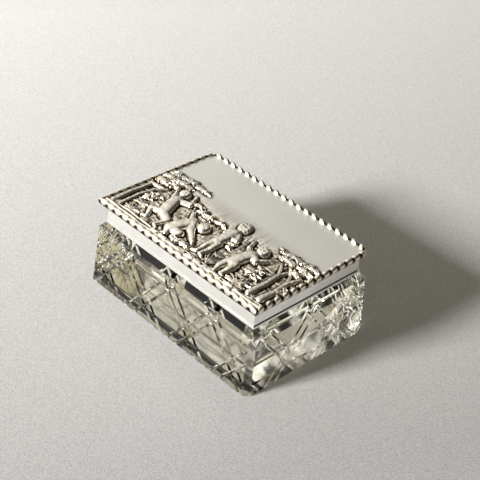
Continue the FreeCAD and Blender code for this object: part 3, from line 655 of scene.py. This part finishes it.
QUARTER = math.pi / 2
strips = [
    border_strip("gadroon_rear", "border_rear", 0, MIDDLE_X, MIDDLE_Y, True, True),
    border_strip("gadroon_left", "border_left", QUARTER, MIDDLE_Y, MIDDLE_X, False, True),
    border_strip("gadroon_front", "border_front", math.pi, MIDDLE_X, MIDDLE_Y, False, False, FRONT_WEAR_AND_SHADE),
    border_strip("gadroon_right", "border_right", -QUARTER, MIDDLE_Y, MIDDLE_X, True, False),
]
print("strips:", [(piece.name, len(piece.data.polygons)) for piece in strips])


# %% [markdown]
# ## Small tools for finishes
#
# A finish is a small network of nodes. Placing and linking each node by hand
# takes four lines, so a few helpers do it in one: a link for a socket, a written
# value for a number, and one short name for each kind of node that recurs.

# %% Node helpers
FLOAT, VECTOR = "NodeSocketFloat", "NodeSocketVector"


def fill(tree, node, inputs):
    """Fills a node's inputs: a socket is linked, a plain value is written."""
    for key, value in inputs.items():
        if isinstance(value, bpy.types.NodeSocket):
            tree.links.new(value, node.inputs[key])
        else:
            node.inputs[key].default_value = value


def add(tree, kind, inputs=None, **settings):
    """Places a node with its settings, then fills its inputs."""
    node = tree.nodes.new(kind)
    for key, value in settings.items():
        setattr(node, key, value)
    fill(tree, node, inputs or {})
    return node


def math_node(tree, operation, first, second):
    """One sum on two values."""
    return add(tree, "ShaderNodeMath", {0: first, 1: second}, operation=operation).outputs[0]


def vector_node(tree, operation, first, second=(0.0, 0.0, 0.0)):
    """One sum on two vectors; a dot product gives a plain value."""
    node = add(tree, "ShaderNodeVectorMath", {0: first, 1: second}, operation=operation)
    return node.outputs["Value" if operation == "DOT_PRODUCT" else "Vector"]


def split(tree, vector):
    """The three values of a vector, by their names X, Y and Z."""
    return add(tree, "ShaderNodeSeparateXYZ", {"Vector": vector}).outputs


def noise(tree, place, scale, detail=2.0, distortion=0.0):
    """Cloudy pattern from 0 to 1 at a place."""
    inputs = {"Vector": place, "Scale": scale, "Detail": detail, "Distortion": distortion}
    return add(tree, "ShaderNodeTexNoise", inputs).outputs["Fac"]


def span(tree, value, low, high, to_low, to_high):
    """Carries a value from one range to another and holds it inside."""
    inputs = {"Value": value, "From Min": low, "From Max": high, "To Min": to_low, "To Max": to_high}
    return add(tree, "ShaderNodeMapRange", inputs).outputs["Result"]


def blend_colour(tree, share, first, second):
    """Mix of two colours by a share."""
    return add(tree, "ShaderNodeMix", {0: share, 6: first, 7: second}, data_type="RGBA").outputs[2]


def ramp(tree, share, stops):
    """Colours that follow a share, given as pairs of place and colour."""
    node = add(tree, "ShaderNodeValToRGB", {"Fac": share})
    elements = node.color_ramp.elements
    elements[0].position, elements[0].color = stops[0]
    elements[1].position, elements[1].color = stops[-1]
    for position, colour in stops[1:-1]:
        elements.new(position).color = colour
    return node.outputs["Color"]


def bump(tree, height, strength, depth):
    """A normal that follows a height of the given depth in mm."""
    inputs = {"Height": height, "Strength": strength, "Distance": depth * MM}
    return add(tree, "ShaderNodeBump", inputs).outputs["Normal"]


def new_group(name, sockets_in, sockets_out):
    """An empty node group with named inputs and outputs: its tree, its given values and its end node."""
    tree = bpy.data.node_groups.new(name, "ShaderNodeTree")
    for label, kind, value in sockets_in:
        socket = tree.interface.new_socket(label, in_out="INPUT", socket_type=kind)
        if value is not None:
            socket.default_value = value
    for label in sockets_out:
        tree.interface.new_socket(label, in_out="OUTPUT", socket_type=FLOAT)
    return tree, tree.nodes.new("NodeGroupInput").outputs, tree.nodes.new("NodeGroupOutput")


def place_group(tree, group, inputs):
    """One use of a group in a finish."""
    return add(tree, "ShaderNodeGroup", inputs, node_tree=group).outputs


def new_finish(name):
    """An empty material with its shader, and the object's own coordinates."""
    finish = bpy.data.materials.new(name)
    finish.use_nodes = True
    tree = finish.node_tree
    return finish, tree, tree.nodes["Principled BSDF"], add(tree, "ShaderNodeTexCoord").outputs["Object"]


print("materials that came with the solids:", len(bpy.data.materials))


# %% [markdown]
# ## Shared effects: handling film and rubbing marks
#
# Two effects turn up in several finishes: the cloudy film that handling leaves,
# and the fine lines of a polishing cloth. Each is built once as a node group
# that gives values only, and every finish sets its own scale and strength.

# %% Film and rubbing
FILM_DETAIL, FILM_CURL = 5.0, 0.6
FILM_RANGE = (0.42, 0.68)
HAIR_DETAIL = 3.0
HAIR_RANGE = (0.3, 0.7)

film, given, end = new_group(
    "handling_film",
    [("Place", VECTOR, None), ("Scale", FLOAT, 90.0), ("Clean", FLOAT, 0.1), ("Dull", FLOAT, 0.3)],
    ["Roughness", "Mask"],
)
clouds = noise(film, given["Place"], given["Scale"], FILM_DETAIL, FILM_CURL)
fill(film, end, {
    "Mask": span(film, clouds, *FILM_RANGE, 0.0, 1.0),
    "Roughness": span(film, clouds, *FILM_RANGE, given["Clean"], given["Dull"]),
})

rubbing, given, end = new_group(
    "rubbing_marks",
    [("Place", VECTOR, None), ("Stretch", VECTOR, (1.0, 1.0, 1.0)), ("Scale", FLOAT, 900.0)],
    ["Height"],
)
stretched = vector_node(rubbing, "MULTIPLY", given["Place"], given["Stretch"])
hair = noise(rubbing, stretched, given["Scale"], HAIR_DETAIL)
fill(rubbing, end, {"Height": span(rubbing, hair, *HAIR_RANGE, 0.0, 1.0)})
print("shared effects:", film.name, rubbing.name)


# %% [markdown]
# ## Polished silver
#
# Old polished silver is a near mirror with a warm cast. Its roughness changes
# where fingers touched it, and cloth has left fine lines along each piece. A
# picture of scratches would show its edges, so noise stretched along the piece
# makes them. The inside of the lid is painted darker: painted shade, as inside
# the closed box.

# %% Walls and hinge
SILVER = ((0.97, 0.96, 0.93, 1), (0.62, 0.56, 0.46, 1))
SHADED_INSIDE_SILVER = (0.40, 0.37, 0.31, 1)
TARNISH_SHARE = 0.15
SILVER_SCALES = (140.0, 1400.0)
INSIDE_X, INSIDE_Y = 28.6, 19.3
ALONG_WALL, ALONG_HINGE = (0.04, 0.04, 1.0), (0.05, 1.0, 1.0)
RUB_DEPTH = 0.02


def rubbed_metal(name, colours, share, scales, stretch, clean, dull, rub, shaded_inside=False):
    """Metal with film and rubbing marks, which run along the small numbers of stretch.

    Its two colours mix by a share of the film, scales are those of the film and the marks, clean and
    dull the ends of its roughness, and the last flag gives it a darker colour inside the lid: painted
    shade.
    """
    finish, tree, shader, place = new_finish(name)
    worn = place_group(tree, film, {"Place": place, "Scale": scales[0], "Clean": clean, "Dull": dull})
    marks = place_group(tree, rubbing, {"Place": place, "Stretch": stretch, "Scale": scales[1]})
    colour = blend_colour(tree, math_node(tree, "MULTIPLY", worn["Mask"], share), *colours)
    # inside the lid the colour is darker: painted shade of the closed box
    if shaded_inside:
        out = split(tree, vector_node(tree, "ABSOLUTE", place))
        beyond_x = math_node(tree, "GREATER_THAN", out["X"], INSIDE_X * MM)
        beyond_y = math_node(tree, "GREATER_THAN", out["Y"], INSIDE_Y * MM)
        colour = blend_colour(tree, math_node(tree, "MAXIMUM", beyond_x, beyond_y), SHADED_INSIDE_SILVER, colour)
    fill(tree, shader, {
        "Base Color": colour, "Roughness": worn["Roughness"], "Metallic": 1.0,
        "Normal": bump(tree, marks["Height"], rub, RUB_DEPTH),
    })
    return finish


def polished_silver(name, stretch, clean, dull, rub, shaded_inside=False):
    """Rubbed metal in the colours and scales of the silver."""
    return rubbed_metal(name, SILVER, TARNISH_SHARE, SILVER_SCALES, stretch, clean, dull, rub, shaded_inside)


wall_silver = polished_silver("wall_silver", ALONG_WALL, clean=0.10, dull=0.24, rub=0.25)
lid_silver = polished_silver("lid_silver", ALONG_WALL, clean=0.10, dull=0.24, rub=0.25, shaded_inside=True)
hinge_silver = polished_silver("hinge_silver", ALONG_HINGE, clean=0.16, dull=0.34, rub=0.3)
print("silver finishes:", wall_silver.name, lid_silver.name, hinge_silver.name)


# %% [markdown]
# ## Embossed silver
#
# The top is the same metal in another state: satin in the sky, bright on the
# high parts and nearly black in the recesses. A ramp turns the recess value
# into those tones, a fine grain makes them uneven, and the garden value
# decides between the satin and the bright finish.

# %% Relief finish
RECESS_TONES = [
    (0.0, (0.95, 0.925, 0.86, 1)), (0.3, (0.50, 0.44, 0.36, 1)), (0.85, (0.02, 0.018, 0.014, 1)),
]
SKY_CAST, GARDEN_CAST = (0.90, 0.91, 0.92, 1), (1.02, 0.99, 0.92, 1)
GRAIN_SCALE, GRAIN_DETAIL, GRAIN_SHARE = 1500.0, 3.0, 0.5
GRAIN_BUMP, GRAIN_DEPTH = 0.15, 0.06
BRIGHT_ROUGH, DARK_ROUGH, DARK_FROM = 0.26, 0.6, 0.6


def embossed_silver():
    """Silver whose colour goes from bright through brown to black with the recess, satin in the sky."""
    finish, tree, shader, place = new_finish("embossed_silver")
    depth = add(tree, "ShaderNodeAttribute", attribute_name="recess").outputs["Fac"]
    in_picture = add(tree, "ShaderNodeAttribute", attribute_name="garden").outputs["Fac"]
    grain = noise(tree, place, GRAIN_SCALE, GRAIN_DETAIL)
    uneven = math_node(tree, "MULTIPLY", math_node(tree, "SUBTRACT", grain, 0.5), GRAIN_SHARE)
    depth = math_node(tree, "ADD", depth, math_node(tree, "MULTIPLY", uneven, in_picture))
    cast = blend_colour(tree, in_picture, SKY_CAST, GARDEN_CAST)
    satin = place_group(tree, film, {"Place": place, "Scale": 110.0, "Clean": 0.40, "Dull": 0.48})
    bright = span(tree, depth, 0.0, DARK_FROM, BRIGHT_ROUGH, DARK_ROUGH)
    fill(tree, shader, {
        "Base Color": vector_node(tree, "MULTIPLY", ramp(tree, depth, RECESS_TONES), cast),
        "Roughness": span(tree, in_picture, 0.0, 1.0, satin["Roughness"], bright),
        "Metallic": 1.0,
        "Normal": bump(tree, grain, GRAIN_BUMP, GRAIN_DEPTH),
    })
    return finish


relief_finish = embossed_silver()
print("relief finish:", relief_finish.name)


# %% [markdown]
# ## Plaster and pin wire
#
# The mount sits in a thin bed of plaster, matt and a little soiled. The hinge
# turns on drawn steel wire, with marks along its length. Both hardly show, so
# the shared film and marks are all they need.

# %% Bed and pin
PLASTER, SOILED_PLASTER = (0.55, 0.52, 0.45, 1), (0.40, 0.37, 0.30, 1)
PIT_SCALE, PIT_BUMP, PIT_DEPTH = 3000.0, 0.5, 0.05
WIRE = ((0.60, 0.59, 0.57, 1), (0.42, 0.39, 0.35, 1))
WIRE_SCALES, ALONG_PIN = (600.0, 4000.0), (0.03, 1.0, 1.0)


def bed_plaster():
    """Matt white with soft grey clouds and fine pits."""
    finish, tree, shader, place = new_finish("bed_plaster")
    worn = place_group(tree, film, {"Place": place, "Scale": 400.0, "Clean": 0.75, "Dull": 0.95})
    fill(tree, shader, {
        "Base Color": blend_colour(tree, worn["Mask"], PLASTER, SOILED_PLASTER),
        "Roughness": worn["Roughness"],
        "Normal": bump(tree, noise(tree, place, PIT_SCALE), PIT_BUMP, PIT_DEPTH),
    })
    return finish


plaster_finish = bed_plaster()
pin_finish = rubbed_metal("drawn_wire", WIRE, 1.0, WIRE_SCALES, ALONG_PIN, clean=0.28, dull=0.45, rub=0.3)
print("small finishes:", plaster_finish.name, pin_finish.name)


# %% [markdown]
# ## Cut glass
#
# Heavy lead glass is clear with a faint warm tint and bends light strongly. What
# it shows is its own cuts, the floor and the silver above. The underside is
# scuffed by the table. A narrow band near its front edge is painted shade: a dark
# coat on the glass, because a coat also darkens what the glass mirrors inside,
# and it makes the front shoulder look dark. Lamp light passes as through tinted
# air, since its real way through the cuts would take far too many samples.

# %% Glass
GLASS_TINT, GLASS_INDEX = (0.96, 0.935, 0.82, 1), 1.54
SCUFF_HEIGHT, SCUFF_ROUGH = 0.05, 0.13
SHADE_COAT_TINT, SHADE_COAT_ROUGH = (0.03, 0.028, 0.022, 1), 0.9
SHADE_COAT_FRONT, SHADE_COAT_BACK, SHADE_COAT_FADE = -19.6, -16.7, 0.3
LAMP_TINT = (0.06, 0.055, 0.045, 1)


def cut_glass():
    """Clear glass with a thin film, rough on the underside, and painted shade as a dark coat near its front
    edge.
    """
    finish, tree, shader, place = new_finish("clear_lead_glass")
    worn = place_group(tree, film, {"Place": place, "Scale": 120.0, "Clean": 0.0, "Dull": 0.03})
    at = split(tree, place)
    below = span(tree, at["Z"], 0.0, SCUFF_HEIGHT * MM, 1.0, 0.0)
    # a band of painted shade along the front of the underside, laid on as a dark coat
    behind_edge = span(tree, at["Y"], (SHADE_COAT_FRONT - SHADE_COAT_FADE) * MM, SHADE_COAT_FRONT * MM, 0.0, 1.0)
    before_middle = span(tree, at["Y"], SHADE_COAT_BACK * MM, (SHADE_COAT_BACK + SHADE_COAT_FADE) * MM, 1.0, 0.0)
    shade_coat = math_node(tree, "MULTIPLY", below, math_node(tree, "MULTIPLY", behind_edge, before_middle))
    scuffed = math_node(tree, "MULTIPLY", below, SCUFF_ROUGH)
    fill(tree, shader, {
        "Base Color": GLASS_TINT, "IOR": GLASS_INDEX, "Transmission Weight": 1.0,
        "Roughness": math_node(tree, "MAXIMUM", worn["Roughness"], scuffed),
        "Coat Weight": shade_coat, "Coat Tint": SHADE_COAT_TINT, "Coat IOR": 1.0, "Coat Roughness": SHADE_COAT_ROUGH,
    })
    from_lamp = add(tree, "ShaderNodeLightPath").outputs["Is Shadow Ray"]
    passing = add(tree, "ShaderNodeBsdfTransparent", {"Color": LAMP_TINT})
    mixed = add(tree, "ShaderNodeMixShader", {0: from_lamp, 1: shader.outputs[0], 2: passing.outputs[0]})
    tree.links.new(mixed.outputs[0], tree.nodes["Material Output"].inputs["Surface"])
    return finish


glass_finish = cut_glass()
print("glass finish:", glass_finish.name)


# %% [markdown]
# ## Finishes on their pieces
#
# The solids come as loose triangles with sharp edges. Real cut glass is
# polished after cutting, and its edges glint because they are slightly round.
# A weld joins the triangles and a small bevel rounds the edges. Both are
# modifiers, so the solid itself stays as it was packed.

# %% Rounded glass and finishes
WELD_GAP = 0.02
EDGE_ROUND, ROUND_STEPS = 0.10, 2
ROUND_FROM = math.radians(14)
FINISHES = {
    "glass_base": glass_finish, "mount_bed": plaster_finish, "hinge_pin": pin_finish,
    "mount_flange": wall_silver, "mount_bezel": wall_silver, "lid_band": lid_silver,
}

glass = NODES["glass_base"]
glass.modifiers.new("weld", "WELD").merge_threshold = WELD_GAP * MM
rounding = glass.modifiers.new("rounding", "BEVEL")
rounding.width, rounding.segments = EDGE_ROUND * MM, ROUND_STEPS
rounding.limit_method, rounding.angle_limit = "ANGLE", ROUND_FROM
rounding.harden_normals = True
for node_name, node in NODES.items():
    node.data.materials.clear()
    node.data.materials.append(FINISHES.get(node_name, hinge_silver))
for piece in (relief_plate, *strips):
    piece.data.materials.append(relief_finish)
print("finishes:", sorted({slot.material.name for node in NODES.values() for slot in node.material_slots}))


# %% [markdown]
# ## The table
#
# The box stands on pale grey cloth. The fall of the window's light over the
# table is painted into the cloth's colour, from dim at the right front to bright
# at the left rear, and a fine grain of threads breaks it up. Light that glass
# bends and gathers would need very many samples to find the cloth, so the cloth
# glows a little for rays that come through glass: dim under and before the box,
# brighter under its right rear part, where the glass throws the light. Rays from
# silver see the lit cloth in front. Neither glow shows to the camera itself.

# %% Floor
FLOOR_HALF = 2000.0
FLOOR_DROP = 0.1
CLOTH_IN_PAINTED_DIM, CLOTH_IN_PAINTED_LIGHT = (0.40, 0.40, 0.40, 1), (0.88, 0.88, 0.88, 1)
CLOTH_ROUGH = 0.9
PAINTED_LIGHT_ALONG, PAINTED_LIGHT_FROM, PAINTED_LIGHT_TO = (-0.884, 0.468, 0.0), -65.0, 190.0
THREAD_SCALE, FINE_THREAD_SCALE = 2300.0, 5000.0
WEAVE_RANGE, SPECK_RANGE = (0.36, 0.64), (0.68, 1.08)
WEAVE_BUMP, WEAVE_DEPTH = 0.35, 0.2
GLASS_GLOW, SILVER_GLOW = 0.8, 0.45
FRONT_FAR, FRONT_NEAR = -42.0, -30.0
SHADE_MIDDLE = (0.0, 20.0, 0.0)
SHADE_X, SHADE_Y, SHADE = (30.0, 34.0), (40.0, 45.0), 0.35
GATHER_X, GATHER_Y, GATHERED = (0.0, 15.0), (-5.0, 10.0), 1.6


def span_mm(tree, value, ends, to_low, to_high):
    """A range between two places in mm carried to another range."""
    return span(tree, value, ends[0] * MM, ends[1] * MM, to_low, to_high)


def glow_for_glass(tree, place, at):
    """Strength of the glow: SHADE in a rectangle about the box and 1 outside, more where light gathers."""
    moved = vector_node(tree, "ADD", place, tuple(length * MM for length in SHADE_MIDDLE))
    out = split(tree, vector_node(tree, "ABSOLUTE", moved))
    away_x = span_mm(tree, out["X"], SHADE_X, SHADE, 1.0)
    away_y = span_mm(tree, out["Y"], SHADE_Y, SHADE, 1.0)
    right = span_mm(tree, at["X"], GATHER_X, 0.0, 1.0)
    rear = span_mm(tree, at["Y"], GATHER_Y, 0.0, GATHERED)
    gathered = math_node(tree, "ADD", math_node(tree, "MULTIPLY", right, rear), 1.0)
    return math_node(tree, "MULTIPLY", math_node(tree, "MAXIMUM", away_x, away_y), gathered)


def floor_cloth():
    """Pale cloth with a grain of threads, painted light that falls off over the table, and a glow for glass
    and silver.
    """
    finish, tree, shader, place = new_finish("floor_cloth")
    at = split(tree, place)
    threads = noise(tree, place, THREAD_SCALE, 3.0)
    fine = noise(tree, place, FINE_THREAD_SCALE, 1.0)
    weave = math_node(tree, "MULTIPLY", math_node(tree, "ADD", threads, fine), 0.5)
    # painted light: the cloth's colour goes from dim at the right front to bright at the left rear
    slope = vector_node(tree, "DOT_PRODUCT", place, PAINTED_LIGHT_ALONG)
    painted_light_tone = blend_colour(tree, span_mm(tree, slope, (PAINTED_LIGHT_FROM, PAINTED_LIGHT_TO), 0.0, 1.0), CLOTH_IN_PAINTED_DIM, CLOTH_IN_PAINTED_LIGHT)
    seen_by = add(tree, "ShaderNodeLightPath").outputs
    in_front = span_mm(tree, at["Y"], (FRONT_FAR, FRONT_NEAR), SILVER_GLOW, 0.0)
    in_silver = math_node(tree, "MULTIPLY", seen_by["Is Glossy Ray"], in_front)
    in_glass = math_node(tree, "MULTIPLY", seen_by["Is Transmission Ray"], GLASS_GLOW)
    in_glass = math_node(tree, "MULTIPLY", in_glass, glow_for_glass(tree, place, at))
    fill(tree, shader, {
        "Base Color": vector_node(tree, "MULTIPLY", painted_light_tone, span(tree, weave, *WEAVE_RANGE, *SPECK_RANGE)),
        "Roughness": CLOTH_ROUGH,
        "Emission Color": painted_light_tone, "Emission Strength": math_node(tree, "ADD", in_glass, in_silver),
        "Normal": bump(tree, weave, WEAVE_BUMP, WEAVE_DEPTH),
    })
    return finish


corners = np.array([(-1, -1, 0), (1, -1, 0), (1, 1, 0), (-1, 1, 0)]) * FLOOR_HALF - (0, 0, FLOOR_DROP)
floor = make_piece("floor", corners, [(0, 1, 2, 3)], smooth=False)
floor.data.materials.append(floor_cloth())
print("floor:", floor.name, "with finish", floor.data.materials[0].name)


# %% [markdown]
# ## The light and the room
#
# One soft lamp, in front and a little to the left, throws the shadow. The room
# does the rest. Polished silver and glass show their shape only by what they
# mirror, so the room is bright towards a window at the left and dim elsewhere,
# and through the glass a warm wall shows at the right rear. One even background
# would make both look flat.

# %% Light
LAMP_TOWARDS = (-0.235, -0.871, 0.430)
LAMP_DISTANCE, LAMP_SIZE, LAMP_POWER = 1100.0, 215.0, 28.0
LAMP_COLOUR = (1.0, 0.99, 0.97)

lamp = bpy.data.lights.new("window_light", "AREA")
lamp.shape, lamp.size = "SQUARE", LAMP_SIZE * MM
lamp.energy, lamp.color = LAMP_POWER, LAMP_COLOUR
lamp_light = bpy.data.objects.new("window_light", lamp)
bpy.context.scene.collection.objects.link(lamp_light)
outward = Vector(LAMP_TOWARDS).normalized()
lamp_light.location = outward * LAMP_DISTANCE * MM
lamp_light.rotation_mode = "QUATERNION"
lamp_light.rotation_quaternion = outward.to_track_quat("Z", "Y")
print("lit by", lamp_light.name)


# %% Room
TOWARDS_WINDOW, WINDOW_EDGE, WINDOW_MIDDLE = (-0.80, -0.10, 0.59), 0.25, 0.95
WINDOW_POWER = 1.8
DIM_ROOM, BRIGHT_WINDOW = (0.035, 0.033, 0.028, 1), (1.40, 1.38, 1.32, 1)
ROOM_IN_GLASS = [
    (0.0, (0.05, 0.043, 0.027, 1)), (0.50, (0.30, 0.27, 0.20, 1)),
    (0.68, (0.55, 0.52, 0.42, 1)), (1.0, (1.70, 1.69, 1.64, 1)),
]
TOWARDS_WALL, WALL_EDGE, WALL_MIDDLE = (0.56, 0.53, 0.64), 0.75, 0.95
WARM_WALL = (0.60, 0.545, 0.33, 1)
EVEN_ROOM = (0.28, 0.265, 0.215, 1)

world = bpy.data.worlds.new("room")
world.use_nodes = True
room = world.node_tree
direction = add(room, "ShaderNodeTexCoord").outputs["Generated"]
near_window = vector_node(room, "DOT_PRODUCT", direction, TOWARDS_WINDOW)
near_window = span(room, near_window, WINDOW_EDGE, WINDOW_MIDDLE, 0.0, 1.0)
in_silver = blend_colour(
    room, math_node(room, "POWER", near_window, WINDOW_POWER), DIM_ROOM, BRIGHT_WINDOW
)
on_wall = vector_node(room, "DOT_PRODUCT", direction, TOWARDS_WALL)
on_wall = span(room, on_wall, WALL_EDGE, WALL_MIDDLE, 0.0, 1.0)
in_glass = blend_colour(room, on_wall, ramp(room, near_window, ROOM_IN_GLASS), WARM_WALL)
seen_by = add(room, "ShaderNodeLightPath").outputs
seen = blend_colour(room, seen_by["Is Glossy Ray"], EVEN_ROOM, in_silver)
seen = blend_colour(room, seen_by["Is Transmission Ray"], seen, in_glass)
fill(room, room.nodes["Background"], {"Color": seen, "Strength": 1.0})
bpy.context.scene.world = world
bpy.context.scene.view_settings.view_transform = "Standard"
print("room:", world.name)


# %% [markdown]
# ## The camera
#
# The camera looks down at the front right corner through a long lens, slightly
# rolled. Its place comes from three angles and a distance to a point in the
# box, which is easier to adjust than a location and a rotation.

# %% Camera
AZIMUTH, ELEVATION, ROLL = (math.radians(angle) for angle in (42.58, 35.21, 6.45))
DISTANCE = 343.6
TARGET = Vector((-7.92, 11.90, 12.0))
LENS, SENSOR = 90.0, 36.0
CLIP_NEAR, CLIP_FAR = 0.01, 20.0

across_floor = math.cos(ELEVATION)
back = Vector((
    math.sin(AZIMUTH) * across_floor, -math.cos(AZIMUTH) * across_floor, math.sin(ELEVATION),
))
level = Vector((math.cos(AZIMUTH), math.sin(AZIMUTH), 0))
upward = back.cross(level)
across = level * math.cos(ROLL) + upward * math.sin(ROLL)
upright = upward * math.cos(ROLL) - level * math.sin(ROLL)
lens = bpy.data.cameras.new("camera")
lens.lens, lens.sensor_width = LENS, SENSOR
lens.clip_start, lens.clip_end = CLIP_NEAR, CLIP_FAR
camera = bpy.data.objects.new("camera", lens)
bpy.context.scene.collection.objects.link(camera)
turned = Matrix((across, upright, back)).transposed().to_4x4()
camera.matrix_world = Matrix.Translation((TARGET + back * DISTANCE) * MM) @ turned
bpy.context.scene.camera = camera
print("camera at", [round(value / MM) for value in camera.matrix_world.translation])
